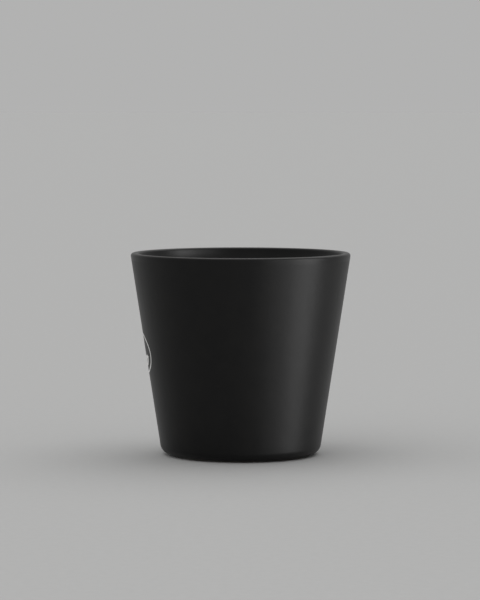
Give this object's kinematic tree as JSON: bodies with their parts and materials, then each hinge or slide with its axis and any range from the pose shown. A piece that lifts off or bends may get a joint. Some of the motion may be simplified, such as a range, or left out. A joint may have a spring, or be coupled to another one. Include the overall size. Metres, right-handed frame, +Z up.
{
  "type": "handle-less double-walled mug",
  "caption": "Straight-sided tapered black mug without a handle: double stoneware wall with air between, satin glaze outside, glossier liner, plugged vent under the base, white printed mark.",
  "frame": {"origin": "on the table, under the middle of the foot ring", "axes": "+Z up along the mug's axis, -X towards the printed mark, -Y towards the viewer of the picture"},
  "size_m": [0.0896, 0.0896, 0.0825],
  "materials": {
    "stoneware": "matte",
    "satin_black_glaze": "satin",
    "liner_black_glaze": "gloss",
    "silicone": "matte",
    "white_print": "satin"
  },
  "bodies": {
    "root": {"outer_shell": "stoneware", "inner_cup": "stoneware", "outer_glaze": "satin_black_glaze", "base_glaze": "satin_black_glaze", "liner_glaze": "liner_black_glaze", "vent_plug": "silicone", "print_oval": "white_print", "print_leaf_left": "white_print", "print_leaf_middle": "white_print", "print_leaf_right": "white_print"}
  },
  "joints": []
}
